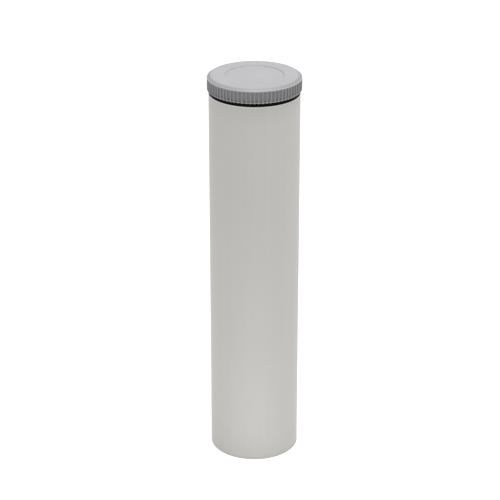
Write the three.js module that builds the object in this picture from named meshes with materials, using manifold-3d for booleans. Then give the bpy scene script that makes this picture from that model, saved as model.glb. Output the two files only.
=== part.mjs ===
// A fire blanket in its canister: a plastic tube with a glued-in bottom plug and a glued-in threaded
// collar, a ribbed screw cap with a rubber seal, and a woven blanket that is folded in four, rolled up
// and pulled out by two tape loops. Millimetres, +Z up, the origin at the middle of the base.
import * as THREE from "three";
import { mergeVertices } from "three/addons/utils/BufferGeometryUtils.js";
import Module from "manifold-3d";

// Driving dimensions, in mm.
const roundSegments = 72; // facets around every turned piece

// Tube
const tubeDiameter = 100;
const tubeWall = 3;
const tubeLength = 430;
const tubeEdge = 0.7; // chamfer on the cut ends, outside

// Fits
const glueGap = 0.3; // radial gap that the solvent cement fills
const threadGap = 0.35; // radial gap between the cap's thread and the collar's
const sealFit = 0.3; // radial gap between the seal and the cap's skirt
const rollGap = 1.2; // radial gap between the rolled blanket and the collar's thread
const restGap = 0.3; // a soft piece lies this far from what carries it

// Bottom plug, a cup pushed into the tube with its floor near the base
const plugRecess = 2; // the floor's underside above the tube's cut end
const plugFloor = 3.2;
const plugWall = 2.8;
const plugHeight = 20;
const plugEdge = 0.8;

// Collar and thread
const collarLength = 34;
const collarWall = 2.4; // behind the thread
const collarEdge = 1;
const threadPitch = 6;
const threadDepth = 1.6;
const threadTaper = 0.38; // how much a ridge narrows on each side, per mm of its height
const threadPlay = 0.6; // height of the gap above and below the cap's ridge, halfway up its flank
const threadSink = 0.6; // how deep a ridge's foot reaches into its wall
const threadFade = 0.09; // turns over which a ridge rises from its wall
const capThreadLead = 1.6; // plain skirt below the cap's ridge
const capThreadRunout = 2.8; // from the cap's ridge up to the collar's rim
const collarThreadRunout = 1.3; // from the collar's ridge up to its rim

// Seal
const sealThickness = 3.5;
const sealInset = 0.35; // the seal's edge inside the tube's outer face
const sealBulge = 0.9; // how far the rounded edge stands out from the flat faces

// Screw cap
const capOverhang = 1.75; // the ribs' tips outside the tube
const capHeight = 16;
const capBevelWidth = 3.4;
const capBevelHeight = 2.6;
const capTop = 3.2; // thickness of the top under the recess
const recessRadius = 32.5;
const recessDepth = 1.2;
const skirtWall = 3;
const skirtLength = 22; // from the grip's underside to the skirt's lower edge
const skirtEdge = 0.8;
const ribCount = 72;
const ribDepth = 1.1;
const ribTipWidth = 1.1;
const ribFootWidth = 1.9;
const braceCount = 6; // radial braces under the top
const braceThickness = 2;
const braceHeight = 4.5;
const braceHub = 9; // radius of the boss that the braces meet in
const braceBite = 0.5; // how far braces and boss reach into what carries them

// Rolled blanket and its tape loops
const headRoom = 6; // from the roll's top to the skirt's lower edge
const rollEdge = 2.5;
const tapeWidth = 25;
const tapeThickness = 1.2;
const tapeGap = 1.5; // from the tape's edges to the cap's skirt
const tapeTuck = 30; // how far the plies reach down between the cloth's layers
const tapeNeck = 5; // straight plies above the roll's top
const loopRoom = 8.5; // from the top of the loop to the cap's braces
const loopReach = 18; // how far the loop leans towards the middle
const loopSteps = 7; // facets along each of the loop's three bends
const tackLength = 19;
const tackHeight = 2.2;
const tackThickness = 0.8;
const tackLift = 1.2; // from the roll's top to the tack's lower edge

// Derived radii
const tubeOuter = tubeDiameter / 2;
const tubeInner = tubeOuter - tubeWall;
const plugOuter = tubeInner - glueGap;
const plugInner = plugOuter - plugWall;
const collarOuter = tubeInner - glueGap;
const collarRoot = collarOuter - collarWall;
const collarCrest = collarRoot - threadDepth;
const capThreadCrest = collarRoot - threadGap;
const skirtOuter = collarCrest - threadGap;
const skirtInner = skirtOuter - skirtWall;
const sealInner = skirtOuter + sealFit;
const sealOuter = tubeOuter - sealInset;
const capOuter = tubeOuter + capOverhang;
const ribFoot = capOuter - ribDepth;
const rollRadius = collarCrest - rollGap;
const tapeRadius = Math.sqrt((skirtInner - tapeGap) ** 2 - (tapeWidth / 2) ** 2) - tapeThickness;

// The ridges' widths, so that the cap's ridge keeps its play halfway up the flanks that face each other
const threadHalfway = threadSink + (threadDepth + threadGap) / 2;
const threadRootWidth = threadPitch / 2 - threadPlay + 2 * threadTaper * threadHalfway;
const threadCrestWidth = threadRootWidth - 2 * threadTaper * (threadSink + threadDepth);

// Derived heights
const plugFloorTop = plugRecess + plugFloor;
const gripBottom = tubeLength + sealThickness;
const gripTop = gripBottom + capHeight;
const bevelFoot = gripTop - capBevelHeight;
const ceiling = gripTop - recessDepth - capTop;
const skirtBottom = gripBottom - skirtLength;
const capThreadStart = skirtBottom + capThreadLead + threadRootWidth / 2;
const capThreadEnd = tubeLength - capThreadRunout - threadRootWidth / 2;
const collarThreadStart = capThreadStart - threadPitch / 2; // so that the two ridges never meet
const collarThreadEnd = tubeLength - collarThreadRunout - threadRootWidth / 2;
const rollBottom = plugFloorTop + restGap;
const rollTop = skirtBottom - headRoom;
const loopHeight = ceiling - braceHeight - loopRoom - tapeThickness / 2 - tapeNeck - rollTop;

const wasm = await Module();
wasm.setup();

// A closed three.js geometry as a manifold-3d solid, with its faces pointing out.
function toSolid(geometry) {
  const bare = geometry.clone();
  bare.deleteAttribute("normal");
  bare.deleteAttribute("uv");
  const merged = mergeVertices(bare, 1e-4);
  const vertProperties = new Float32Array(merged.getAttribute("position").array);
  const triVerts = new Uint32Array(merged.index.array);
  const made = new wasm.Manifold(new wasm.Mesh({ numProp: 3, vertProperties, triVerts }));
  if (made.volume() > 0) return made;
  for (let i = 0; i < triVerts.length; i += 3)
    [triVerts[i + 1], triVerts[i + 2]] = [triVerts[i + 2], triVerts[i + 1]];
  return new wasm.Manifold(new wasm.Mesh({ numProp: 3, vertProperties, triVerts }));
}

function toGeometry(solid) {
  const mesh = solid.getMesh();
  const geometry = new THREE.BufferGeometry();
  geometry.setAttribute("position", new THREE.BufferAttribute(new Float32Array(mesh.vertProperties), 3));
  geometry.setIndex(new THREE.BufferAttribute(new Uint32Array(mesh.triVerts), 1));
  return geometry;
}

// A solid of revolution about Z. The profile is a list of [radius, height] corners that closes on itself,
// or starts and ends on the axis.
function turned(profile) {
  const onAxis = profile[0][0] === 0 && profile.at(-1)[0] === 0;
  const corners = onAxis ? profile : [...profile, profile[0]];
  const points = corners.map(([radius, height]) => new THREE.Vector2(radius, height));
  return toSolid(new THREE.LatheGeometry(points, roundSegments).rotateX(Math.PI / 2));
}

function block(sizeX, sizeY, sizeZ, x, y, z) {
  return toSolid(new THREE.BoxGeometry(sizeX, sizeY, sizeZ).translate(x, y, z));
}

// A right-hand thread ridge: a straight trapezium bar bent into a helix. Its foot is sunk into the wall at
// rootRadius, it fades into that wall at both ends, and it is a whole number of the wall's facets long.
function threadRidge(rootRadius, crestRadius, startHeight, endHeight) {
  const steps = Math.floor(((endHeight - startHeight) / threadPitch) * roundSegments);
  const turns = steps / roundSegments;
  const outward = Math.sign(crestRadius - rootRadius);
  const section = new THREE.Shape([
    new THREE.Vector2(0, -threadRootWidth / 2),
    new THREE.Vector2(1, -threadCrestWidth / 2),
    new THREE.Vector2(1, threadCrestWidth / 2),
    new THREE.Vector2(0, threadRootWidth / 2),
  ]);
  const bar = new THREE.ExtrudeGeometry(section, { depth: turns, steps, bevelEnabled: false });
  const corners = bar.getAttribute("position");
  for (let i = 0; i < corners.count; i++) {
    const turn = corners.getZ(i);
    const rise = Math.min(1, turn / threadFade, (turns - turn) / threadFade);
    const foot = rootRadius - outward * threadSink;
    const tip = rootRadius + (crestRadius - rootRadius) * Math.max(rise, 0);
    const radius = corners.getX(i) > 0.5 ? tip : foot;
    const angle = turn * 2 * Math.PI;
    const height = startHeight + turn * threadPitch + corners.getY(i);
    corners.setXYZ(i, radius * Math.cos(angle), radius * Math.sin(angle), height);
  }
  return toSolid(bar);
}

function makeTube() {
  return turned([
    [tubeInner, 0],
    [tubeOuter - tubeEdge, 0],
    [tubeOuter, tubeEdge],
    [tubeOuter, tubeLength - tubeEdge],
    [tubeOuter - tubeEdge, tubeLength],
    [tubeInner, tubeLength],
  ]);
}

function makeBottomPlug() {
  const plugTop = plugRecess + plugHeight;
  return turned([
    [0, plugRecess],
    [plugOuter - plugEdge, plugRecess],
    [plugOuter, plugRecess + plugEdge],
    [plugOuter, plugTop],
    [plugInner + plugEdge, plugTop],
    [plugInner, plugTop - plugEdge],
    [plugInner, plugFloorTop],
    [0, plugFloorTop],
  ]);
}

function makeThreadedCollar() {
  const collarBottom = tubeLength - collarLength;
  const sleeve = turned([
    [collarRoot + collarEdge, collarBottom],
    [collarOuter, collarBottom],
    [collarOuter, tubeLength],
    [collarRoot, tubeLength],
    [collarRoot, collarBottom + collarEdge],
  ]);
  return sleeve.add(threadRidge(collarRoot, collarCrest, collarThreadStart, collarThreadEnd));
}

function makeSeal() {
  const flat = sealOuter - sealBulge;
  const quarter = sealThickness / 4;
  const shoulder = sealOuter - sealBulge / 4;
  return turned([
    [sealInner, tubeLength],
    [flat, tubeLength],
    [shoulder, tubeLength + quarter],
    [sealOuter, tubeLength + 2 * quarter],
    [shoulder, tubeLength + 3 * quarter],
    [flat, gripBottom],
    [sealInner, gripBottom],
  ]);
}

// The grip's outline seen from above: ribs with flat tips and wider feet, and a round hole in the middle.
function gripRing() {
  const ribCorners = [
    [ribFoot, -ribFootWidth / 2],
    [capOuter, -ribTipWidth / 2],
    [capOuter, ribTipWidth / 2],
    [ribFoot, ribFootWidth / 2],
  ];
  const corners = [];
  for (let rib = 0; rib < ribCount; rib++) {
    for (const [radius, offset] of ribCorners) {
      const angle = (rib / ribCount) * 2 * Math.PI + offset / radius;
      corners.push(new THREE.Vector2(radius * Math.cos(angle), radius * Math.sin(angle)));
    }
  }
  const outline = new THREE.Shape(corners);
  const holeRadius = (skirtOuter + ribFoot) / 2;
  outline.holes.push(new THREE.Path().absarc(0, 0, holeRadius, 0, 2 * Math.PI, true));
  const options = { depth: bevelFoot - gripBottom, bevelEnabled: false, curveSegments: roundSegments / 2 };
  return toSolid(new THREE.ExtrudeGeometry(outline, options).translate(0, 0, gripBottom));
}

// Radial braces that meet in a boss, under the cap's top.
function capBraces() {
  const height = braceHeight + braceBite;
  const bottom = ceiling - braceHeight;
  const top = ceiling + braceBite;
  let braces = turned([[0, bottom], [braceHub, bottom], [braceHub, top], [0, top]]);
  const length = skirtInner + braceBite;
  for (let i = 0; i < braceCount; i++) {
    const brace = new THREE.BoxGeometry(length, braceThickness, height);
    brace.translate(length / 2, 0, bottom + height / 2).rotateZ((i / braceCount) * 2 * Math.PI);
    braces = braces.add(toSolid(brace));
  }
  return braces;
}

function makeScrewCap() {
  const body = turned([
    [0, ceiling],
    [skirtInner, ceiling],
    [skirtInner, skirtBottom],
    [skirtOuter - skirtEdge, skirtBottom],
    [skirtOuter, skirtBottom + skirtEdge],
    [skirtOuter, gripBottom],
    [ribFoot, gripBottom],
    [ribFoot, bevelFoot],
    [capOuter, bevelFoot],
    [capOuter - capBevelWidth, gripTop],
    [recessRadius, gripTop],
    [recessRadius, gripTop - recessDepth],
    [0, gripTop - recessDepth],
  ]);
  const ridge = threadRidge(skirtOuter, capThreadCrest, capThreadStart, capThreadEnd);
  return body.add(gripRing()).add(capBraces()).add(ridge);
}

// The rolled blanket is a plain cylinder here, with a slot in its top for the two plies of each tape.
function makeBlanketRoll() {
  const roll = turned([
    [0, rollBottom],
    [rollRadius - rollEdge, rollBottom],
    [rollRadius, rollBottom + rollEdge],
    [rollRadius, rollTop - rollEdge],
    [rollRadius - rollEdge, rollTop],
    [0, rollTop],
  ]);
  const thickness = 2 * (tapeThickness + restGap);
  const width = tapeWidth + 2 * restGap;
  const height = 2 * (tapeTuck + restGap);
  const slot = (x) => block(thickness, width, height, x, 0, rollTop);
  return roll.subtract(slot(tapeRadius)).subtract(slot(-tapeRadius));
}

// One tape is folded in half. Its two plies are sewn together between the layers of cloth, and above the
// roll it opens into a loop that leans towards the middle. Its side view is extruded by the tape's width.
function makePullTape() {
  const half = tapeThickness / 2;
  const neck = tapeNeck;
  const top = neck + loopHeight;
  const point = (x, y) => new THREE.Vector2(x, y);
  const loop = new THREE.CurvePath();
  const bend = (...corners) => loop.add(new THREE.CubicBezierCurve(...corners));
  const outerFoot = point(half, neck);
  const crown = point(-loopReach * 0.45, top);
  const nose = point(-loopReach, neck + loopHeight * 0.6);
  const innerFoot = point(-half, neck);
  bend(outerFoot, point(half, neck + loopHeight * 0.55), point(crown.x + loopReach * 0.3, top), crown);
  bend(crown, point(crown.x - loopReach * 0.3, top), point(nose.x, nose.y + loopHeight * 0.22), nose);
  bend(nose, point(nose.x, nose.y - loopHeight * 0.4), point(-half, neck + loopHeight * 0.35), innerFoot);
  const middle = loop.getPoints(loopSteps);
  const shifted = (distance) => middle.map((at, i) => {
    const before = middle[Math.max(i - 1, 0)];
    const after = middle[Math.min(i + 1, middle.length - 1)];
    const ends = i === 0 || i === middle.length - 1;
    const along = ends ? point(0, i === 0 ? 1 : -1) : after.clone().sub(before).normalize();
    return point(at.x + along.y * distance, at.y - along.x * distance);
  });
  const outline = new THREE.Shape([
    point(-tapeThickness, -tapeTuck),
    point(tapeThickness, -tapeTuck),
    ...shifted(half),
  ]);
  outline.holes.push(new THREE.Path(shifted(-half).slice(1)));
  const band = new THREE.ExtrudeGeometry(outline, { depth: tapeWidth, bevelEnabled: false });
  return toSolid(band.translate(0, 0, -tapeWidth / 2).rotateX(Math.PI / 2));
}

// A bar of thread sewn through both plies at the tape's neck.
function makeBarTack() {
  const x = -tapeThickness - restGap - tackThickness / 2;
  return block(tackThickness, tackLength, tackHeight, x, 0, tackLift + tackHeight / 2);
}

const finishes = {
  tubePlastic: { color: 0xc6c4bf, roughness: 0.45, metalness: 0 },
  capPlastic: { color: 0x8b8d90, roughness: 0.5, metalness: 0 },
  rubber: { color: 0x0c0c0c, roughness: 0.7, metalness: 0 },
  cloth: { color: 0xe6e2d6, roughness: 0.9, metalness: 0 },
  webbing: { color: 0x2b2c2e, roughness: 0.85, metalness: 0 },
  thread: { color: 0xdad8d0, roughness: 0.8, metalness: 0 },
};

function part(name, solid, finish) {
  const mesh = new THREE.Mesh(toGeometry(solid), new THREE.MeshStandardMaterial(finishes[finish]));
  mesh.name = name;
  return mesh;
}

const canister = new THREE.Group();
canister.add(part("tube", makeTube(), "tubePlastic"));
canister.add(part("bottom_plug", makeBottomPlug(), "tubePlastic"));
canister.add(part("threaded_collar", makeThreadedCollar(), "capPlastic"));

const closure = new THREE.Group();
closure.add(part("screw_cap", makeScrewCap(), "capPlastic"));
closure.add(part("cap_seal", makeSeal(), "rubber"));

const blanket = new THREE.Group();
blanket.add(part("blanket_roll", makeBlanketRoll(), "cloth"));
for (const [name, turn] of [["right", 0], ["left", Math.PI]]) {
  const pull = new THREE.Group();
  const tape = part(`pull_tape_${name}`, makePullTape(), "webbing");
  const tack = part(`bar_tack_${name}`, makeBarTack(), "thread");
  tape.position.set(tapeRadius, 0, rollTop);
  tack.position.set(tapeRadius, 0, rollTop);
  pull.add(tape, tack);
  pull.rotation.z = turn;
  blanket.add(pull);
}

const fireBlanket = new THREE.Group();
fireBlanket.add(canister, closure, blanket);

export default fireBlanket;
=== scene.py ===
import math

import bmesh
import bpy
from mathutils import Matrix, Vector


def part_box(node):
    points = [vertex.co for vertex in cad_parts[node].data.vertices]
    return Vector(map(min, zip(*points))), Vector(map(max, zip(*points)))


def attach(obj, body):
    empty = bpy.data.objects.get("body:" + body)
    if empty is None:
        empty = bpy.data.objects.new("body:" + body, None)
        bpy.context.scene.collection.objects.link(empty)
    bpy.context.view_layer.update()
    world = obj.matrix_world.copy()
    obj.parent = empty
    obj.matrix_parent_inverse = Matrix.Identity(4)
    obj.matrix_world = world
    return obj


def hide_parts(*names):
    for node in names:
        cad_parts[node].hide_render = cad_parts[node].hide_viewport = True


# A fire blanket in its canister: a plain plastic tube, a ribbed screw cap on a rubber seal, and inside
# them the folded and rolled blanket with its two pull loops. Metres, +Z up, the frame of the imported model.
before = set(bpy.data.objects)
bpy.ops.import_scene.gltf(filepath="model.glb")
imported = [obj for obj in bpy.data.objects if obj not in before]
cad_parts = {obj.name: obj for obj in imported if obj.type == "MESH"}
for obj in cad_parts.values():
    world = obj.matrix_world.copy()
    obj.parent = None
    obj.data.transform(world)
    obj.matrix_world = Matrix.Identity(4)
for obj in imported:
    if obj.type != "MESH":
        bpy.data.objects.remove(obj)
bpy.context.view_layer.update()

MM = 0.001
TURN = 2 * math.pi

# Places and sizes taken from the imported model
tube_low, tube_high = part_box("tube")
plug_low, plug_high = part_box("bottom_plug")
collar_low, collar_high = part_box("threaded_collar")
seal_low, seal_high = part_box("cap_seal")
cap_low, cap_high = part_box("screw_cap")
roll_low, roll_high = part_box("blanket_roll")
tape_low, tape_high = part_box("pull_tape_right")
tack_low, tack_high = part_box("bar_tack_right")

# Sizes of the canister's pieces that a box doesn't give
ROUND_STEPS = 144  # facets around a turned piece, two for each rib of the grip
CORNER_SEGMENTS = 4  # facets round a turned piece's rounded corner
TUBE_WALL = 3 * MM
PLUG_WALL = 2.8 * MM
PLUG_FLOOR = 3.2 * MM
COLLAR_WALL = 2.4 * MM
THREAD_PITCH = 6 * MM
THREAD_DEPTH = 1.6 * MM
THREAD_GAP = 0.35 * MM
THREAD_SINK = 0.6 * MM
THREAD_ROOT_WIDTH = 3.6 * MM
THREAD_CREST_WIDTH = 1.9 * MM
THREAD_ROUNDING = 0.3 * MM
THREAD_FADE = 0.09  # turns over which a ridge rises from its wall
CAP_THREAD_LEAD = 3.4 * MM  # from the skirt's lower edge to the middle of the ridge's start
CAP_THREAD_TURNS = 1.75
COLLAR_THREAD_TURNS = 2.5
SEAL_BULGE = 0.9 * MM
TUBE_CHAMFER = 0.7 * MM
SKIRT_WALL = 3 * MM
BEVEL_WIDTH = 3.4 * MM
BEVEL_HEIGHT = 2.2 * MM
CAP_TOP_THICKNESS = 3.2 * MM
RECESS_RADIUS = 32.5 * MM
RECESS_DEPTH = 1.2 * MM
RIB_COUNT = 72
RIB_TIP_WIDTH = 0.6 * MM
LIP_HEIGHT = 1.2 * MM  # the closed edge under the grooves
LIP_SCALLOP = 0.6 * MM  # how far it's drawn in between two ribs
LIP_LIFT = 0.5 * MM  # and how far it's raised there
GROOVE_ROUNDING = 1.3 * MM  # at the upper corners of a groove
# The groove's wall, as steps of (inwards across the groove, deeper into the cap)
GROOVE_STEPS = ((0.08, 0.03), (0.08, 0.12), (0.12, 0.45), (0.08, 0.40), (0.14, 0.12), (0.18, 0.03))
BRACE_COUNT = 3  # bars from wall to wall
BRACE_THICKNESS = 2 * MM
BRACE_HEIGHT = 4.5 * MM
BRACE_HUB = 9 * MM
BRACE_BITE = 0.5 * MM
EDGE = 0.35 * MM  # the usual rounding of a moulded edge

# The studio: a glowing floor, white walls, a dimmer ceiling and one softbox
FLOOR_REACH = 60
FLOOR_GAP = 0.1 * MM  # keeps the floor clear of the tube's cut end
FLOOR_GLOW = 0.85
FRONT_GLOW = 1.85
GLOW_AHEAD = 0.27  # how far in front of the object the brighter patch lies
GLOW_REACH = (0.06, 0.26)  # it's full within the first radius and gone at the second
WALL_LIGHT = 1.0
CEILING_LIGHT = 0.6
SOFTBOX_PLACE = (0.10, -0.02, 1.75)
SOFTBOX_POWER = 21.5
CAMERA_PLACE = (0, -1.889, 1.076)
CAMERA_DIP = 23.814  # degrees below the horizontal
CAMERA_SWING = 0.0026  # radians to the left
LENS_LENGTH = 132.1  # millimetres

TUBE_RADIUS = tube_high.x
CAP_RADIUS = TUBE_RADIUS + 1.75 * MM
GRIP_BOTTOM = seal_high.z
CAP_TOP = cap_high.z
BEVEL_FOOT = CAP_TOP - BEVEL_HEIGHT
CEILING = CAP_TOP - RECESS_DEPTH - CAP_TOP_THICKNESS
SKIRT_BOTTOM = cap_low.z
COLLAR_RADIUS = collar_high.x
COLLAR_ROOT = COLLAR_RADIUS - COLLAR_WALL
COLLAR_CREST = COLLAR_ROOT - THREAD_DEPTH
CAP_THREAD_CREST = COLLAR_ROOT - THREAD_GAP
SKIRT_RADIUS = COLLAR_CREST - THREAD_GAP
CAP_THREAD_START = SKIRT_BOTTOM + CAP_THREAD_LEAD


# ---------------------------------------------------------------- shapes

def link_up(shape, points, closed=True):
    """Edges from point to point, and back to the first if the outline is closed."""
    nexts = points[1:] + points[:1] if closed else points[1:]
    return [shape.edges.new(pair) for pair in zip(points, nexts)]


def round_points(shape, points, rounding, segments):
    bmesh.ops.bevel(shape, geom=points, offset=rounding, offset_type="OFFSET", segments=segments,
                    profile=0.5, affect="VERTICES", material=-1)


def spin_all(shape, angle, steps, rise=0, merge=False, copies=False):
    """Spins the whole shape about Z, as one surface or as separate copies."""
    everything = shape.verts[:] + shape.edges[:] + shape.faces[:]
    bmesh.ops.spin(shape, geom=everything, cent=(0, 0, 0), axis=(0, 0, 1), dvec=(0, 0, rise), angle=angle,
                   steps=steps, use_merge=merge, use_duplicate=copies)


def turned(corners, steps=ROUND_STEPS, open_ends=False):
    """An outline spun about Z. A corner is (radius, height, rounding). The outline closes on itself, unless
    its ends lie on the axis, or are left open to be sewn to another piece."""
    shape = bmesh.new()
    points = [shape.verts.new((radius, 0, height)) for radius, height, _ in corners]
    ends_on_axis = corners[0][0] == 0 and corners[-1][0] == 0
    link_up(shape, points, closed=not (ends_on_axis or open_ends))
    for point, (_, _, rounding) in zip(points, corners):
        if rounding:
            round_points(shape, [point], rounding, CORNER_SEGMENTS)
    spin_all(shape, TURN, steps, merge=True)
    tidy_shell(shape)
    return shape


def tidy_shell(shape, reach=1e-6):
    bmesh.ops.remove_doubles(shape, verts=shape.verts, dist=reach)
    bmesh.ops.recalc_face_normals(shape, faces=shape.faces)


def set_radius(vert, radius):
    """Moves a point straight out from the axis, or in towards it."""
    share = radius / math.hypot(vert.co.x, vert.co.y)
    vert.co.x *= share
    vert.co.y *= share


def joined(*shapes):
    """Several shapes in one."""
    whole = bmesh.new()
    for shape in shapes:
        carrier = bpy.data.meshes.new("carrier")
        shape.to_mesh(carrier)
        shape.free()
        whole.from_mesh(carrier)
        bpy.data.meshes.remove(carrier)
    return whole


def rounded_block(size, middle, rounding):
    shape = bmesh.new()
    bmesh.ops.create_cube(shape, size=1)
    bmesh.ops.scale(shape, vec=size, verts=shape.verts)
    bmesh.ops.translate(shape, vec=middle, verts=shape.verts)
    bmesh.ops.bevel(shape, geom=shape.edges[:], offset=rounding, offset_type="OFFSET", segments=2,
                    profile=0.5, affect="EDGES", material=-1)
    return shape


def thread_ridge(root, crest, start, turns):
    """A right-hand thread ridge, swept up its helix and faded into its wall at both ends."""
    outward = math.copysign(1, crest - root)
    foot = root - outward * THREAD_SINK
    shape = bmesh.new()
    outline = [(foot, -THREAD_ROOT_WIDTH / 2), (crest, -THREAD_CREST_WIDTH / 2),
               (crest, THREAD_CREST_WIDTH / 2), (foot, THREAD_ROOT_WIDTH / 2)]
    points = [shape.verts.new((radius, 0, start + height)) for radius, height in outline]
    link_up(shape, points)
    round_points(shape, points[1:3], THREAD_ROUNDING, 3)
    spin_all(shape, turns * TURN, round(turns * ROUND_STEPS), rise=THREAD_PITCH / ROUND_STEPS)
    bmesh.ops.holes_fill(shape, edges=[edge for edge in shape.edges if edge.is_boundary], sides=0)
    for vert in shape.verts:
        angle = math.atan2(vert.co.y, vert.co.x) / TURN
        turn = angle + round((vert.co.z - start) / THREAD_PITCH - angle)
        rise = max(0, min(1, turn / THREAD_FADE, (turns - turn) / THREAD_FADE))
        radius = math.hypot(vert.co.x, vert.co.y)
        if (radius - root) * outward > 0:
            set_radius(vert, root + (radius - root) * rise)
    bmesh.ops.recalc_face_normals(shape, faces=shape.faces)
    return shape


def add_piece(name, shape, finish, body, nodes=(), sharp_angle=40):
    """A shape as a piece of the object: it rides on a body, and stands for the CAD nodes it replaces."""
    mesh = bpy.data.meshes.new(name)
    shape.to_mesh(mesh)
    shape.free()
    mesh.polygons.foreach_set("use_smooth", [True] * len(mesh.polygons))
    mesh.set_sharp_from_angle(angle=math.radians(sharp_angle))
    mesh.materials.append(finish)
    piece = bpy.data.objects.new(name, mesh)
    bpy.context.scene.collection.objects.link(piece)
    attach(piece, body)
    if nodes:
        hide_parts(*nodes)
    return piece


def smooth_step(low, high, value):
    share = min(1, max(0, (value - low) / (high - low)))
    return share * share * (3 - 2 * share)


# ---------------------------------------------------------------- finishes

class Level:
    """Something that varies over a surface. Arithmetic on it adds Math nodes."""

    def __init__(self, finish, socket):
        self.finish = finish
        self.socket = socket

    def math(self, operation, first, second=0):
        return self.finish.node("Math", {"operation": operation}, {0: first, 1: second})

    def __add__(self, other):
        return self.math("ADD", self, other)

    __radd__ = __add__

    def __sub__(self, other):
        return self.math("SUBTRACT", self, other)

    def __rsub__(self, other):
        return self.math("SUBTRACT", other, self)

    def __mul__(self, other):
        return self.math("MULTIPLY", self, other)

    __rmul__ = __mul__

    def __abs__(self):
        return self.math("ABSOLUTE", self)

    def above(self, other):
        return self.math("GREATER_THAN", self, other)

    def sine(self):
        return self.math("SINE", self)

    def root(self):
        return self.math("SQRT", self)

    def between(self, low, high):
        """0 below low and 1 above high, smoothly."""
        inputs = {"Value": self, "From Min": low, "From Max": high}
        return self.finish.node("MapRange", {"interpolation_type": "SMOOTHSTEP"}, inputs)


class Shading:
    """A node tree that is added to one node at a time."""

    def __init__(self, owner):
        owner.use_nodes = True
        self.tree = owner.node_tree

    def node(self, kind, settings=None, inputs=None, output=0):
        made = self.tree.nodes.new("ShaderNode" + kind)
        for name, value in (settings or {}).items():
            setattr(made, name, value)
        for name, value in (inputs or {}).items():
            self.feed(made.inputs[name], value)
        return Level(self, made.outputs[output])

    def feed(self, socket, value):
        if isinstance(value, Level):
            self.tree.links.new(value.socket, socket)
        else:
            socket.default_value = value

    def axes(self, vector):
        parts = self.node("SeparateXYZ", None, {0: vector}).socket.node
        return [Level(self, socket) for socket in parts.outputs]

    def blend(self, first, second, share):
        return self.node("Mix", {"data_type": "RGBA"}, {0: share, 6: first, 7: second}, output=2)


class Finish(Shading):
    """A material built around one Principled shader."""

    def __init__(self, name):
        self.material = bpy.data.materials.new(name)
        super().__init__(self.material)
        self.shader = self.tree.nodes["Principled BSDF"]

    def place(self):
        return self.node("TexCoord", output="Object")

    def flat_cloth(self):
        """Coordinates on the flat cloth or tape, in metres."""
        return self.node("UVMap", {"uv_map": "flat"})

    def stretched(self, scale):
        return self.node("Mapping", None, {"Vector": self.place(), "Scale": scale})

    def noise(self, vector, scale, detail=2.0, roughness=0.5):
        inputs = {"Vector": vector, "Scale": scale, "Detail": detail, "Roughness": roughness}
        return self.node("TexNoise", None, inputs)

    def pits(self, vector, scale):
        """Distance from the nearest of many scattered points."""
        return self.node("TexVoronoi", {"feature": "F1"}, {"Vector": vector, "Scale": scale})

    def relief(self, height, depth, under=None):
        inputs = {"Height": height, "Distance": depth, "Strength": 1.0}
        if under:
            inputs["Normal"] = under
        return self.node("Bump", None, inputs)

    def done(self, **looks):
        for name, value in looks.items():
            self.feed(self.shader.inputs[name.replace("_", " ")], value)
        return self.material


def grey(level, warmth=0.0):
    """A linear grey, with red raised and blue lowered by the warmth."""
    return (level * (1 + warmth), level, level * (1 - 1.6 * warmth), 1)


def tube_plastic():
    """Extruded pipe: satin, with faint die lines along it, soft mottling, a darker band at the bottom and a
    painted highlight along the top rim.
    """
    finish = Finish("tube_plastic")
    place = finish.place()
    height = finish.axes(place)[2]
    die_lines = finish.noise(finish.stretched((260, 260, 2.2)), 1.0, 3)
    mottle = finish.noise(place, 9, 2)
    grain = finish.noise(place, 1900, 2)
    scratches = finish.noise(finish.stretched((90, 90, 900)), 1.0, 2).between(0.70, 0.78)
    # Darker and rougher towards the bottom end.
    bottom_band = 1 - height.between(0.4 * MM, 5 * MM)
    # A painted highlight: a pale band along the top rim.
    rim_highlight = height.between(tube_high.z - 2.2 * MM, tube_high.z - 0.8 * MM)
    tone = mottle * 0.6 + die_lines * 0.4
    dull, clean = grey(0.464, 0.026), grey(0.480, 0.022)
    # The first grey darkens the bottom band; the second is a painted rim highlight, also given to the
    # scratches.
    bottom_grey, rim_highlight_and_scratch = grey(0.27, 0.05), grey(0.66, 0.015)
    base = finish.blend(dull, clean, tone.between(0.3, 0.7))
    # Darker towards the bottom.
    edge_toned = finish.blend(base, bottom_grey, bottom_band * 0.2)
    # Painted highlight along the top rim, and the pale scratches.
    bright = finish.blend(edge_toned, rim_highlight_and_scratch, rim_highlight * 0.8 + scratches * 0.12)
    roughness = 0.38 + 0.07 * grain + 0.05 * mottle + 0.12 * bottom_band + 0.1 * scratches
    lines = finish.relief(die_lines, 0.012 * MM)
    normal = finish.relief(grain, 0.010 * MM, lines)
    return finish.done(Base_Color=bright, Roughness=roughness, Normal=normal, Specular_IOR_Level=0.25)


def inner_plastic():
    """The bottom plug: the tube's plastic as moulded, a little darker and finely grained."""
    finish = Finish("plug_plastic")
    place = finish.place()
    grain = finish.pits(place, 2600)
    mottle = finish.noise(place, 25, 3)
    dark, light = grey(0.36, 0.02), grey(0.42, 0.02)
    base = finish.blend(dark, light, mottle.between(0.3, 0.7))
    roughness = 0.42 + 0.1 * grain + 0.06 * mottle
    normal = finish.relief(grain, 0.015 * MM)
    return finish.done(Base_Color=base, Roughness=roughness, Normal=normal, IOR=1.5)


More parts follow.
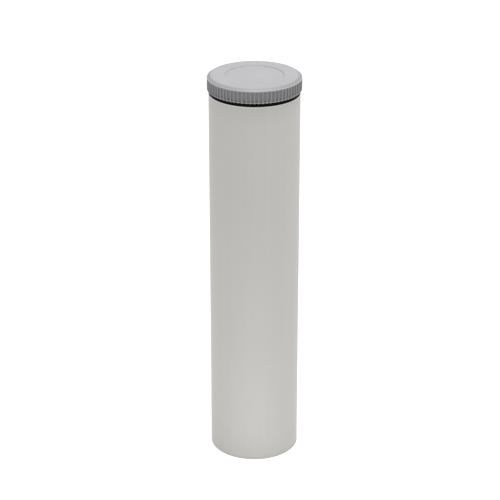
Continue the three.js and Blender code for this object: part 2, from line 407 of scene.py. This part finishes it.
def cap_plastic():
    """Moulded cap: mid grey with a fine spark grain, rib tips polished by hands, painted shade in the
    grooves and on the bevel, and a painted highlight along the bevel's outer edge.
    """
    finish = Finish("cap_plastic")
    place = finish.place()
    across, along, height = finish.axes(place)
    radius = (across * across + along * along).root()
    tips = radius.between(CAP_RADIUS - 0.7 * MM, CAP_RADIUS - 0.05 * MM)
    side = height.between(GRIP_BOTTOM + 0.7 * MM, GRIP_BOTTOM + 1.3 * MM) * (
        1 - height.between(BEVEL_FOOT - MM, BEVEL_FOOT))
    outside = radius.between(SKIRT_RADIUS + 4 * MM, CAP_RADIUS - 1.6 * MM)
    # The grooves: rougher, and given painted shade.
    groove = side * outside * (1 - tips)
    # The bevel, given painted shade, and its outer edge, given a painted highlight.
    bevel = radius.between(CAP_RADIUS - BEVEL_WIDTH - 1.6 * MM, CAP_RADIUS - BEVEL_WIDTH + 0.4 * MM) * (
        height.between(BEVEL_FOOT - 0.2 * MM, BEVEL_FOOT + 0.1 * MM))
    crest = radius.between(CAP_RADIUS - 0.9 * MM, CAP_RADIUS - 0.45 * MM) * bevel
    mottle = finish.noise(place, 22, 3)
    grain = finish.pits(place, 3200)
    specks = finish.noise(place, 900, 2).between(0.66, 0.72)
    scuffs = finish.noise(finish.stretched((60, 420, 200)), 1.0, 3).between(0.64, 0.74)
    dark, light = (0.285, 0.282, 0.292, 1), (0.302, 0.300, 0.311, 1)
    # The first grey is painted shade for the grooves, the last painted shade for the bevel.
    groove_shade, polish, bevel_shade = (0.13, 0.13, 0.131, 1), (0.25, 0.25, 0.256, 1), (0.205, 0.206, 0.214, 1)
    # The first grey is a painted highlight for the bevel's outer edge.
    edge_highlight, scratched = (0.36, 0.36, 0.372, 1), (0.36, 0.36, 0.365, 1)
    base = finish.blend(dark, light, mottle.between(0.3, 0.7))
    # Painted shade in the grooves.
    groove_shaded = finish.blend(base, groove_shade, groove * 0.6)
    polished = finish.blend(groove_shaded, polish, side * tips * 0.6)
    # Painted shade on the bevel.
    bevel_shaded = finish.blend(polished, bevel_shade, bevel * 0.75)
    # A painted highlight along the bevel's outer edge.
    edge_toned = finish.blend(bevel_shaded, edge_highlight, crest * 0.7)
    marked = finish.blend(edge_toned, scratched, specks * 0.08 + scuffs * 0.08)
    roughness = 0.50 + 0.08 * grain + 0.08 * mottle + 0.12 * groove - 0.05 * tips * side
    normal = finish.relief(grain, 0.018 * MM)
    return finish.done(Base_Color=marked, Roughness=roughness, Normal=normal, IOR=1.5)


def seal_rubber():
    """Black rubber with a fine skin and faint pale bloom."""
    finish = Finish("seal_rubber")
    place = finish.place()
    bloom = finish.noise(finish.stretched((160, 160, 900)), 1.0, 4).between(0.58, 0.8)
    skin = finish.noise(place, 1500, 3)
    black, bloomed = grey(0.001), grey(0.008)
    base = finish.blend(black, bloomed, bloom * 0.6 + skin * 0.15)
    roughness = 0.55 + 0.2 * skin + 0.15 * bloom
    normal = finish.relief(skin, 0.03 * MM)
    return finish.done(Base_Color=base, Roughness=roughness, Normal=normal, Specular_IOR_Level=0.06)


def plain_weave(finish, spacing):
    """Height of a plain weave whose threads lie that far apart on the flat cloth, from 0 to 1."""
    across, along, _ = finish.axes(finish.flat_cloth())
    warp = (across * (math.pi / spacing)).sine()
    weft = (along * (math.pi / spacing)).sine()
    over = (warp * weft).above(0)
    return over * abs(warp) + (1 - over) * abs(weft)


def glass_cloth():
    """Woven glass fibre: off-white and silky."""
    finish = Finish("glass_cloth")
    weave = plain_weave(finish, CLOTH_THREADS)
    place = finish.place()
    shade = finish.noise(place, 40, 3)
    fibres = finish.noise(place, 4200, 2)
    seam = hem_stitches(finish)
    gaps, threads = (0.52, 0.47, 0.37, 1), (0.76, 0.72, 0.62, 1)
    stain, seam_thread = (0.62, 0.55, 0.41, 1), (0.80, 0.78, 0.72, 1)
    base = finish.blend(gaps, threads, weave * 0.7 + shade * 0.3)
    tinted = finish.blend(base, stain, shade.between(0.45, 0.75) * 0.35)
    sewn = finish.blend(tinted, seam_thread, seam)
    roughness = 0.62 + 0.15 * fibres - 0.1 * weave
    cloth = finish.relief(fibres, 0.04 * MM, finish.relief(weave, 0.14 * MM))
    normal = finish.relief(seam, 0.25 * MM, cloth)
    return finish.done(Base_Color=sewn, Roughness=roughness, Normal=normal, Sheen_Weight=0.25)


def hem_stitches(finish):
    """1 on the lockstitches that run along both hems, seen on the hem and on the cloth behind it."""
    across, along, _ = finish.axes(finish.flat_cloth())
    from_edge = CLOTH_WIDTH / 2 - abs(across - CLOTH_WIDTH / 2)
    on_hem = abs(from_edge - SEAM_FROM_EDGE)
    behind = abs(from_edge - (2 * HEM + math.pi * LAYER / 2 - SEAM_FROM_EDGE))
    line = 1 - finish.node("Math", {"operation": "MINIMUM"}, {0: on_hem, 1: behind}).between(
        0.25 * MM, 0.45 * MM)
    dash = abs((along * (math.pi / STITCH_LENGTH)).sine()).between(0.25, 0.45)
    return line * dash


def webbing():
    """Black herringbone tape: diagonal ribs that turn back at every band."""
    finish = Finish("webbing")
    band, rib, pick = 5 * MM, 1.3 * MM, 0.55 * MM
    along, across, _ = finish.axes(finish.flat_cloth())
    zigzag = finish.node("Math", {"operation": "PINGPONG"}, {0: across + band / 2, 1: band})
    twill = ((along + zigzag) * (TURN / rib)).sine() * 0.5 + 0.5
    picks = (across * (TURN / pick)).sine() * 0.5 + 0.5
    weave = twill * 0.75 + picks * 0.25
    fuzz = finish.noise(finish.place(), 2500, 3)
    hollow, raised = grey(0.009), grey(0.045, -0.02)
    base = finish.blend(hollow, raised, weave * 0.7 + fuzz * 0.3)
    roughness = 0.6 + 0.25 * fuzz
    normal = finish.relief(fuzz, 0.05 * MM, finish.relief(weave, 0.22 * MM))
    return finish.done(Base_Color=base, Roughness=roughness, Normal=normal, Sheen_Weight=0.3)


def sewing_thread():
    """Off-white twisted thread."""
    finish = Finish("sewing_thread")
    _, along, height = finish.axes(finish.place())
    strand = 0.22 * MM
    twist = ((along + height) * (TURN / strand)).sine() * 0.5 + 0.5
    fuzz = finish.noise(finish.place(), 3000, 2)
    hollow, raised = (0.55, 0.52, 0.45, 1), (0.82, 0.80, 0.73, 1)
    base = finish.blend(hollow, raised, twist * 0.7 + fuzz * 0.3)
    normal = finish.relief(twist, 0.05 * MM)
    return finish.done(Base_Color=base, Roughness=0.6 + 0.2 * fuzz, Normal=normal, Sheen_Weight=0.2)


def studio_floor():
    """A matt white light table, glowing most in front of the object."""
    finish = Finish("studio_floor")
    across, along, _ = finish.axes(finish.place())
    fibres = finish.noise(finish.place(), 300, 3)
    base = finish.blend(grey(0.29), grey(0.31), fibres)
    from_spot = along + GLOW_AHEAD
    near = 1 - (across * across + from_spot * from_spot).root().between(*GLOW_REACH)
    glow = finish.blend(grey(FLOOR_GLOW), grey(FRONT_GLOW), near)
    return finish.done(Base_Color=base, Roughness=0.85 + 0.1 * fibres, Emission_Color=glow,
                       Emission_Strength=1.0)


# ---------------------------------------------------------------- canister

def make_tube(finish):
    inner = TUBE_RADIUS - TUBE_WALL
    low, high = tube_low.z, tube_high.z
    chamfered = TUBE_RADIUS - TUBE_CHAMFER
    shape = turned([
        (inner, low, EDGE),
        (chamfered, low, 0.2 * MM),
        (TUBE_RADIUS, low + TUBE_CHAMFER, EDGE),
        (TUBE_RADIUS, high - TUBE_CHAMFER, 0.6 * MM),
        (chamfered, high, 0.2 * MM),
        (inner, high, EDGE),
    ], steps=2 * ROUND_STEPS)
    return add_piece("pipe", shape, finish, "canister", ["tube"])


def make_bottom_plug(finish):
    """A moulded cup with a ring groove and the stub of its gate under the floor."""
    outer, inner = plug_high.x, plug_high.x - PLUG_WALL
    low, high = plug_low.z, plug_high.z
    ring, ring_width, ring_depth = 30 * MM, 1.6 * MM, 0.7 * MM
    stub, stub_height = 2.2 * MM, 0.6 * MM
    shape = turned([
        (0, low - stub_height, 0),
        (stub * 0.6, low - stub_height, 0.2 * MM),
        (stub, low, 0.3 * MM),
        (ring - ring_width, low, 0.2 * MM),
        (ring - ring_width * 0.7, low + ring_depth, 0.2 * MM),
        (ring + ring_width * 0.7, low + ring_depth, 0.2 * MM),
        (ring + ring_width, low, 0.2 * MM),
        (outer, low, 0.8 * MM),
        (outer, high, EDGE),
        (inner, high, 0.8 * MM),
        (inner, low + PLUG_FLOOR, MM),
        (0, low + PLUG_FLOOR, 0),
    ])
    return add_piece("plug_cup", shape, finish, "canister", ["bottom_plug"])


def make_collar(finish):
    low, high = collar_low.z, collar_high.z
    sleeve = turned([
        (COLLAR_ROOT, low, MM),
        (COLLAR_RADIUS, low, EDGE),
        (COLLAR_RADIUS, high, EDGE),
        (COLLAR_ROOT, high, 0.5 * MM),
    ])
    start = CAP_THREAD_START - THREAD_PITCH / 2
    ridge = thread_ridge(COLLAR_ROOT, COLLAR_CREST, start, COLLAR_THREAD_TURNS)
    return add_piece("mouth_collar", joined(sleeve, ridge), finish, "canister",
                     ["threaded_collar"])


# ---------------------------------------------------------------- cap and seal

def make_seal(finish):
    """A flat ring with a rounded edge, the thin line of its mould, and a lip on the tube's chamfer."""
    inner, outer = SKIRT_RADIUS + 0.3 * MM, seal_high.x
    low, high = seal_low.z, seal_high.z
    middle = (low + high) / 2
    flash, lip = 0.12 * MM, 0.5 * MM
    rim_edge = TUBE_RADIUS - TUBE_CHAMFER + 0.05 * MM
    shape = turned([
        (inner, low, EDGE),
        (rim_edge, low, 0),
        (rim_edge + lip, low - lip, 0.1 * MM),
        (outer - 0.1 * MM, low + 0.2 * MM, 0.2 * MM),
        (outer - flash, middle - flash, 0),
        (outer, middle, 0.05 * MM),
        (outer - flash, middle + flash, 0),
        (outer - flash, middle + 0.9 * MM, 0.6 * MM),
        (outer - SEAL_BULGE, high, 0.5 * MM),
        (inner, high, EDGE),
    ])
    return add_piece("seal_ring", shape, finish, "seal", ["cap_seal"])


def groove_sector(low, high):
    """One flat sector of the grip, from rib middle to rib middle, with its groove pressed in."""
    shape = bmesh.new()
    pitch = TURN * CAP_RADIUS / RIB_COUNT
    half = (pitch - RIB_TIP_WIDTH) / 2
    foot, crown = low + LIP_HEIGHT / 2, high - 0.1 * MM
    corners = [(-half, foot), (half, foot), (half, crown), (-half, crown)]
    groove = [shape.verts.new((across, 0, height)) for across, height in corners]
    link_up(shape, groove)
    round_points(shape, groove[:2], 0.3 * MM, 2)
    round_points(shape, groove[2:], GROOVE_ROUNDING, 5)
    outline = shape.edges[:]
    side = pitch / 2
    corners = [(-side, low), (0, low), (side, low), (side, high), (0, high), (-side, high)]
    border = link_up(shape, [shape.verts.new((across, 0, height)) for across, height in corners])
    bmesh.ops.triangle_fill(shape, edges=outline + border, use_beauty=True)
    floor = bmesh.ops.contextual_create(shape, geom=outline)["faces"]
    bmesh.ops.recalc_face_normals(shape, faces=shape.faces)
    if floor[0].normal.y > 0:
        bmesh.ops.reverse_faces(shape, faces=shape.faces)
    for inwards, deeper in GROOVE_STEPS:
        bmesh.ops.inset_region(shape, faces=floor, thickness=inwards * MM, depth=-deeper * MM,
                               use_even_offset=True, use_boundary=True)
    for vert in shape.verts:
        angle = (vert.co.x / pitch + 0.5) * TURN / RIB_COUNT
        radius = CAP_RADIUS - vert.co.y
        vert.co.x, vert.co.y = radius * math.cos(angle), radius * math.sin(angle)
    return shape


def ribbed_belt(low, high):
    shape = groove_sector(low, high)
    others = RIB_COUNT - 1
    spin_all(shape, TURN * others / RIB_COUNT, others, copies=True)
    return shape


def scallop(shape):
    """Draws the closed edge under the grooves in between the ribs."""
    lip_top, fade_top = GRIP_BOTTOM + LIP_HEIGHT, GRIP_BOTTOM + LIP_HEIGHT * 1.4
    for vert in shape.verts:
        radius = math.hypot(vert.co.x, vert.co.y)
        if vert.co.z < fade_top and radius > TUBE_RADIUS:
            place = math.atan2(vert.co.y, vert.co.x) / TURN * RIB_COUNT
            from_rib = 2 * abs(place - round(place))
            fade = 1 - smooth_step(lip_top, fade_top, vert.co.z)
            between = smooth_step(0.15, 0.6, from_rib) * fade
            set_radius(vert, radius - LIP_SCALLOP * between)
            low_down = 1 - smooth_step(GRIP_BOTTOM, lip_top, vert.co.z)
            outside = smooth_step(TUBE_RADIUS + 0.2 * MM, CAP_RADIUS - LIP_SCALLOP, radius)
            vert.co.z += LIP_LIFT * between * low_down * outside


def make_cap(finish):
    belt_low, belt_high = GRIP_BOTTOM + 0.5 * MM, BEVEL_FOOT - 0.5 * MM
    skirt_inner = SKIRT_RADIUS - SKIRT_WALL
    recess_floor = CAP_TOP - RECESS_DEPTH
    top = turned([
        (CAP_RADIUS, belt_high, 0),
        (CAP_RADIUS, BEVEL_FOOT, 0.5 * MM),
        (CAP_RADIUS - BEVEL_WIDTH, CAP_TOP, 0.9 * MM),
        (RECESS_RADIUS, CAP_TOP, 0.35 * MM),
        (RECESS_RADIUS - 0.7 * MM, recess_floor, 0.45 * MM),
        (0, recess_floor, 0),
    ], open_ends=True)
    under = turned([
        (0, CEILING, 0),
        (skirt_inner, CEILING, 0.8 * MM),
        (skirt_inner, SKIRT_BOTTOM, 0.5 * MM),
        (SKIRT_RADIUS, SKIRT_BOTTOM, 0.8 * MM),
        (SKIRT_RADIUS, GRIP_BOTTOM, 0.3 * MM),
        (TUBE_RADIUS + 0.2 * MM, GRIP_BOTTOM, 0),
        (CAP_RADIUS, GRIP_BOTTOM, 0.4 * MM),
        (CAP_RADIUS, belt_low, 0),
    ], open_ends=True)
    shell = joined(ribbed_belt(belt_low, belt_high), top, under)
    tidy_shell(shell, 5e-6)
    scallop(shell)
    ridge = thread_ridge(SKIRT_RADIUS, CAP_THREAD_CREST, CAP_THREAD_START, CAP_THREAD_TURNS)
    cap = joined(shell, ridge, cap_braces(skirt_inner))
    return add_piece("ribbed_cap", cap, finish, "cap", ["screw_cap"])


def cap_braces(skirt_inner):
    bottom, top = CEILING - BRACE_HEIGHT, CEILING + BRACE_BITE
    length = 2 * (skirt_inner + BRACE_BITE)
    braces = [turned([(0, bottom, 0), (BRACE_HUB, bottom, 0.5 * MM), (BRACE_HUB, top, 0), (0, top, 0)])]
    for number in range(BRACE_COUNT):
        brace = rounded_block((length, BRACE_THICKNESS, top - bottom), (0, 0, (top + bottom) / 2), EDGE)
        turn = Matrix.Rotation(number * math.pi / BRACE_COUNT, 3, "Z")
        bmesh.ops.rotate(brace, cent=(0, 0, 0), matrix=turn, verts=brace.verts)
        braces.append(brace)
    return joined(*braces)


# ---------------------------------------------------------------- blanket

CLOTH_WIDTH = 1.624  # cut width: 1.6 m and a hem turned in along both edges
CLOTH_LENGTH = 2.0
CLOTH_THICKNESS = 0.34 * MM
LAYER = 0.43 * MM  # from one layer to the next
TURN_PITCH = 6 * LAYER  # four layers of cloth and the two hems
HEM = 12 * MM
SEAM_FROM_EDGE = 2.5 * MM
STITCH_LENGTH = 3 * MM
CLOTH_THREADS = 0.7 * MM  # from one thread of the weave to the next
CORE_RADIUS = 2.3 * MM
TURN_STEPS = 60  # facets of the cloth in each turn of the roll
ROLL_SOFTNESS = 0.35 * MM  # how far the outer turns wave in and out
EDGE_WANDER = 0.45 * MM  # how far the roll's top edge wanders up and down
EDGE_RIPPLE = 0.3 * MM
EDGE_CROWN = 1.2 * MM  # how far the innermost turn stands up
EDGE_DROP = 1.0 * MM
PULL_OPENING = 1.28 * MM  # how far a tape pushes the layers away on each side
PULL_TURNS = {1: 12.5, -1: 12.0}  # how many turns lie inside the tape at +X and the one at -X
GIVE_BELOW = (50 * MM, 5 * MM)  # the layers start to give way this far below a tape, and have done so here
GIVE_BESIDE = (math.radians(24), math.radians(58))  # and they close up again between these angles from it
GIVE_TURNS_OUT, GIVE_TURNS_IN = 3, 8  # how many turns share the push
TUCK = roll_high.z - tape_low.z
PLY = 1.1 * MM
NECK = 5 * MM  # straight plies above the roll's top
PLY_STEPS, BEND_STEPS, TAPE_COLUMNS = 8, 14, 12
STITCH_COUNT = 27  # on each face of a bar tack
STITCH_WIDTH, STITCH_THICKNESS = 0.5 * MM, 0.42 * MM
STITCH_LEAN = math.radians(14)


def cloth_profile():
    """The folded width as a list of (place across the flat cloth, layer, height), from hem to hem."""
    bend = math.pi * LAYER / 2
    panel = (CLOTH_WIDTH - 2 * HEM - 5 * bend) / 4
    top = roll_high.z - LAYER
    bottom = top - panel
    runs = [(-1, top - HEM, top)]
    runs += [(0, top, bottom), (1, bottom, top), (2, top, bottom), (3, bottom, top)]
    runs += [(4, top, top - HEM)]
    profile = []
    place = 0.0
    for number, (layer, start, end) in enumerate(runs):
        if number:
            way = 1 if start == top else -1
            for step in (1, 2):
                angle = math.pi * step / 3
                profile.append((place + bend * step / 3, layer - 0.5 - 0.5 * math.cos(angle),
                                start + way * LAYER / 2 * math.sin(angle)))
            place += bend
        shares = (0, 0.5, 1) if abs(end - start) <= HEM * 1.01 else panel_shares(start > end)
        for share in shares:
            height = start + (end - start) * share
            profile.append((place + abs(end - start) * share, layer, height))
        place += abs(end - start)
    return profile


def panel_shares(downwards):
    """Rows along one panel, closer together near its top."""
    shares = (0, 0.02, 0.05, 0.09, 0.2, 1)
    return shares if downwards else tuple(1 - share for share in reversed(shares))


def roll_lengths():
    """The length of cloth that is rolled up after each step of the roll."""
    lengths = [0.0]
    while lengths[-1] < CLOTH_LENGTH:
        radius = CORE_RADIUS + TURN_PITCH * (len(lengths) - 0.5) / TURN_STEPS
        lengths.append(lengths[-1] + radius * TURN / TURN_STEPS)
    return lengths


def seat_radius(side):
    """Where a pull tape lies between two turns of the roll."""
    return CORE_RADIUS + TURN_PITCH * PULL_TURNS[side]


def beside_tape(side, angle, height):
    """1 where a tape is tucked in, 0 well away from it."""
    start, end = GIVE_BELOW
    reach = smooth_step(tape_low.z - start, tape_low.z - end, height)
    away = abs(math.remainder(angle - (0 if side > 0 else math.pi), TURN))
    return reach * (1 - smooth_step(*GIVE_BESIDE, away))


def opened(radius, turns, angle, height):
    """How far the layers give way to the pull tapes, at one place of the roll."""
    moved = 0.0
    for side, split in PULL_TURNS.items():
        push = PULL_OPENING * beside_tape(side, angle, height)
        gap = seat_radius(side)
        if turns > split:
            moved += push * max(0, 1 - (radius - gap) / (GIVE_TURNS_OUT * TURN_PITCH))
        else:
            moved -= push * max(0, 1 - (gap - radius) / (GIVE_TURNS_IN * TURN_PITCH))
    return moved


def roll_place(turns, layer, height):
    """Where a point of the folded cloth lies once it's rolled up."""
    angle = turns * TURN
    radius = CORE_RADIUS + TURN_PITCH * turns + LAYER * (layer - 1.5)
    share = (height - roll_low.z) / (roll_high.z - roll_low.z)
    loose = 1 - beside_tape(1, angle, height) - beside_tape(-1, angle, height)
    softness = ROLL_SOFTNESS * loose * math.sin(3 * angle + 5 * share) * (radius / roll_high.x) ** 2
    wander = EDGE_WANDER * math.sin(0.83 * angle + 1.9 * layer) + EDGE_RIPPLE * math.sin(2.3 * angle - layer)
    crowned = EDGE_CROWN * (1 - turns / 15) - EDGE_DROP
    radius += softness + opened(radius, turns, angle, height)
    lifted = height + (wander + crowned) * smooth_step(0.7, 1, share)
    return radius * math.cos(angle), radius * math.sin(angle), lifted


def flat_grid(rows, columns, corner_at):
    """A sheet whose corners lie where corner_at(row, column) puts them. It gives each corner's place on the
    flat cloth, which is kept as its UV, and its place in the object."""
    shape = bmesh.new()
    bmesh.ops.create_grid(shape, x_segments=rows, y_segments=columns, size=0.5)
    flat = shape.loops.layers.uv.new("flat")
    spots = {}
    for vert in shape.verts:
        row, column = round((vert.co.x + 0.5) * rows), round((vert.co.y + 0.5) * columns)
        spots[vert], vert.co = corner_at(row, column)
    for face in shape.faces:
        for loop in face.loops:
            loop[flat].uv = spots[loop.vert]
    return shape


def make_blanket(finish):
    """The whole cloth: cut flat, folded across its width, then rolled up from one end."""
    profile, lengths = cloth_profile(), roll_lengths()

    def corner_at(row, step):
        across, layer, height = profile[row]
        return (across, lengths[step]), roll_place(step / TURN_STEPS, layer, height)

    shape = flat_grid(len(profile) - 1, len(lengths) - 1, corner_at)
    piece = add_piece("folded_blanket", shape, finish, "blanket", ["blanket_roll"], 75)
    thicken(piece, CLOTH_THICKNESS)
    return piece


def thicken(piece, thickness):
    """Gives a sheet its thickness, half to each side, and keeps the result as the piece's mesh."""
    solid = piece.modifiers.new("thickness", "SOLIDIFY")
    solid.thickness = thickness
    solid.offset = 0
    solid.use_rim = True
    settle(piece)


def settle(piece):
    """Applies a piece's modifiers."""
    bpy.context.view_layer.update()
    seen = piece.evaluated_get(bpy.context.evaluated_depsgraph_get())
    mesh = bpy.data.meshes.new_from_object(seen)
    piece.modifiers.clear()
    piece.data = mesh


# ---------------------------------------------------------------- pull tapes

def tape_line(reach, top):
    """The middle of a tape seen from the side, up one ply, round the loop and down the other.
    Each point is (towards the outside, above the roll's top)."""
    half = (PLY + 0.1 * MM) / 2
    rise = top - NECK
    crown = Vector((-reach * 0.45, top))
    nose = Vector((-reach, NECK + rise * 0.6))
    outer, inner = Vector((half, NECK)), Vector((-half, NECK))
    bends = (
        (outer, Vector((half, NECK + rise * 0.55)), Vector((crown.x + reach * 0.3, top)), crown),
        (crown, Vector((crown.x - reach * 0.3, top)), Vector((nose.x, nose.y + rise * 0.22)), nose),
        (nose, Vector((nose.x, nose.y - rise * 0.4)), Vector((-half, NECK + rise * 0.35)), inner),
    )
    ply_step = (NECK + TUCK) / PLY_STEPS
    line = [Vector((half, -TUCK + ply_step * step)) for step in range(PLY_STEPS)]
    for bend in bends:
        line += [bezier(bend, step / BEND_STEPS) for step in range(BEND_STEPS)]
    line += [Vector((-half, NECK - ply_step * step)) for step in range(PLY_STEPS + 1)]
    return line


def bezier(corners, share):
    rest = 1 - share
    weights = (rest ** 3, 3 * rest * rest * share, 3 * rest * share * share, share ** 3)
    return sum((corner * weight for corner, weight in zip(corners, weights)), Vector((0, 0)))


def make_tape(name, node, side, finish):
    """A woven tape folded in half: it follows the roll's curve where it's tucked in, and flattens in the
    loop. side is 1 at +X and -1 at -X."""
    half_width = tape_high.y
    seat = seat_radius(side)
    reach = (tape_high.x - tape_low.x) - 1.8 * MM
    top = tape_high.z - roll_high.z - PLY / 2
    line = tape_line(reach, top)
    lengths = [0.0]
    for before, after in zip(line, line[1:]):
        lengths.append(lengths[-1] + (after - before).length)

    def corner_at(row, column):
        out, up = line[row]
        across = (column / TAPE_COLUMNS * 2 - 1) * half_width
        curl = 1 - smooth_step(1 * MM, NECK + 12 * MM, up)
        curved = seat - math.sqrt(seat * seat - across * across) - TURN_PITCH * across / seat / TURN
        in_loop = smooth_step(NECK, top, up)
        sway = 0.8 * MM * math.sin(up / (9 * MM)) * in_loop
        droop = 0.5 * MM * (across / half_width) ** 2 * in_loop
        place = side * (seat + out - curl * curved), side * (across + sway), roll_high.z + up - droop
        return (lengths[row], across), place

    shape = flat_grid(len(line) - 1, TAPE_COLUMNS, corner_at)
    bmesh.ops.recalc_face_normals(shape, faces=shape.faces)
    piece = add_piece(name, shape, finish, "blanket", [node], 60)
    thicken(piece, PLY)
    return piece


def make_tack(name, node, side, finish):
    """A bar tack: a close zigzag of thread across both faces of the two plies."""
    half_length = tack_high.y
    low, high = tack_low.z, tack_high.z
    seat = seat_radius(side)
    surface = PLY + 0.12 * MM
    shapes = []
    for face in (-1, 1):
        for number in range(STITCH_COUNT):
            across = (number / (STITCH_COUNT - 1) * 2 - 1) * half_length
            curved = seat - math.sqrt(seat * seat - across * across)
            lean = Matrix.Rotation(STITCH_LEAN * (1 if number % 2 else -1), 3, "X")
            stitch = bmesh.new()
            bmesh.ops.create_uvsphere(stitch, u_segments=8, v_segments=5, radius=0.5)
            bmesh.ops.scale(stitch, vec=(STITCH_THICKNESS, STITCH_WIDTH, high - low), verts=stitch.verts)
            bmesh.ops.rotate(stitch, cent=(0, 0, 0), matrix=lean, verts=stitch.verts)
            spot = Vector((side * (seat + face * surface - curved), side * across, (low + high) / 2))
            bmesh.ops.translate(stitch, vec=spot, verts=stitch.verts)
            shapes.append(stitch)
    return add_piece(name, joined(*shapes), finish, "blanket", [node])


# ---------------------------------------------------------------- studio

def make_floor(finish):
    shape = bmesh.new()
    bmesh.ops.create_grid(shape, x_segments=1, y_segments=1, size=FLOOR_REACH)
    bmesh.ops.translate(shape, vec=(0, 0, -FLOOR_GAP), verts=shape.verts)
    mesh = bpy.data.meshes.new("studio_floor")
    shape.to_mesh(mesh)
    shape.free()
    mesh.materials.append(finish)
    floor = bpy.data.objects.new("studio_floor", mesh)
    bpy.context.scene.collection.objects.link(floor)


def add_softbox(name, place, aim, size, power):
    light = bpy.data.lights.new(name, "AREA")
    light.shape = "RECTANGLE"
    light.size, light.size_y = size
    light.energy = power
    box = bpy.data.objects.new(name, light)
    box.location = place
    box.rotation_euler = (Vector(aim) - Vector(place)).to_track_quat("-Z", "Y").to_euler()
    bpy.context.scene.collection.objects.link(box)


def light_studio():
    """White walls all round, a dimmer ceiling and one soft box overhead."""
    world = bpy.data.worlds.new("studio_air")
    room = Shading(world)
    height = room.axes(room.node("TexCoord", output="Generated"))[2]
    walls = room.blend(grey(WALL_LIGHT), grey(CEILING_LIGHT), height.between(0.10, 0.22))
    room.feed(room.tree.nodes["Background"].inputs["Color"], walls)
    bpy.context.scene.world = world
    add_softbox("overhead", SOFTBOX_PLACE, (0, 0, 0.3), (0.5, 0.5), SOFTBOX_POWER)
    bpy.context.scene.view_settings.view_transform = "Standard"


def set_camera():
    lens = bpy.data.cameras.new("camera")
    lens.sensor_width = 36
    lens.lens = LENS_LENGTH
    camera = bpy.data.objects.new("camera", lens)
    camera.location = CAMERA_PLACE
    camera.rotation_euler = (math.radians(90 - CAMERA_DIP), 0, CAMERA_SWING)
    bpy.context.scene.collection.objects.link(camera)
    bpy.context.scene.camera = camera


# ---------------------------------------------------------------- the whole object

set_camera()
light_studio()
make_floor(studio_floor())

grey_cap_plastic = cap_plastic()
make_tube(tube_plastic())
make_bottom_plug(inner_plastic())
make_collar(grey_cap_plastic)
make_seal(seal_rubber())
make_cap(grey_cap_plastic)

blanket = make_blanket(glass_cloth())
tape_finish, thread_finish = webbing(), sewing_thread()
for side_name, side in (("right", 1), ("left", -1)):
    make_tape(f"pull_loop_{side_name}", f"pull_tape_{side_name}", side, tape_finish)
    make_tack(f"tack_stitches_{side_name}", f"bar_tack_{side_name}", side, thread_finish)
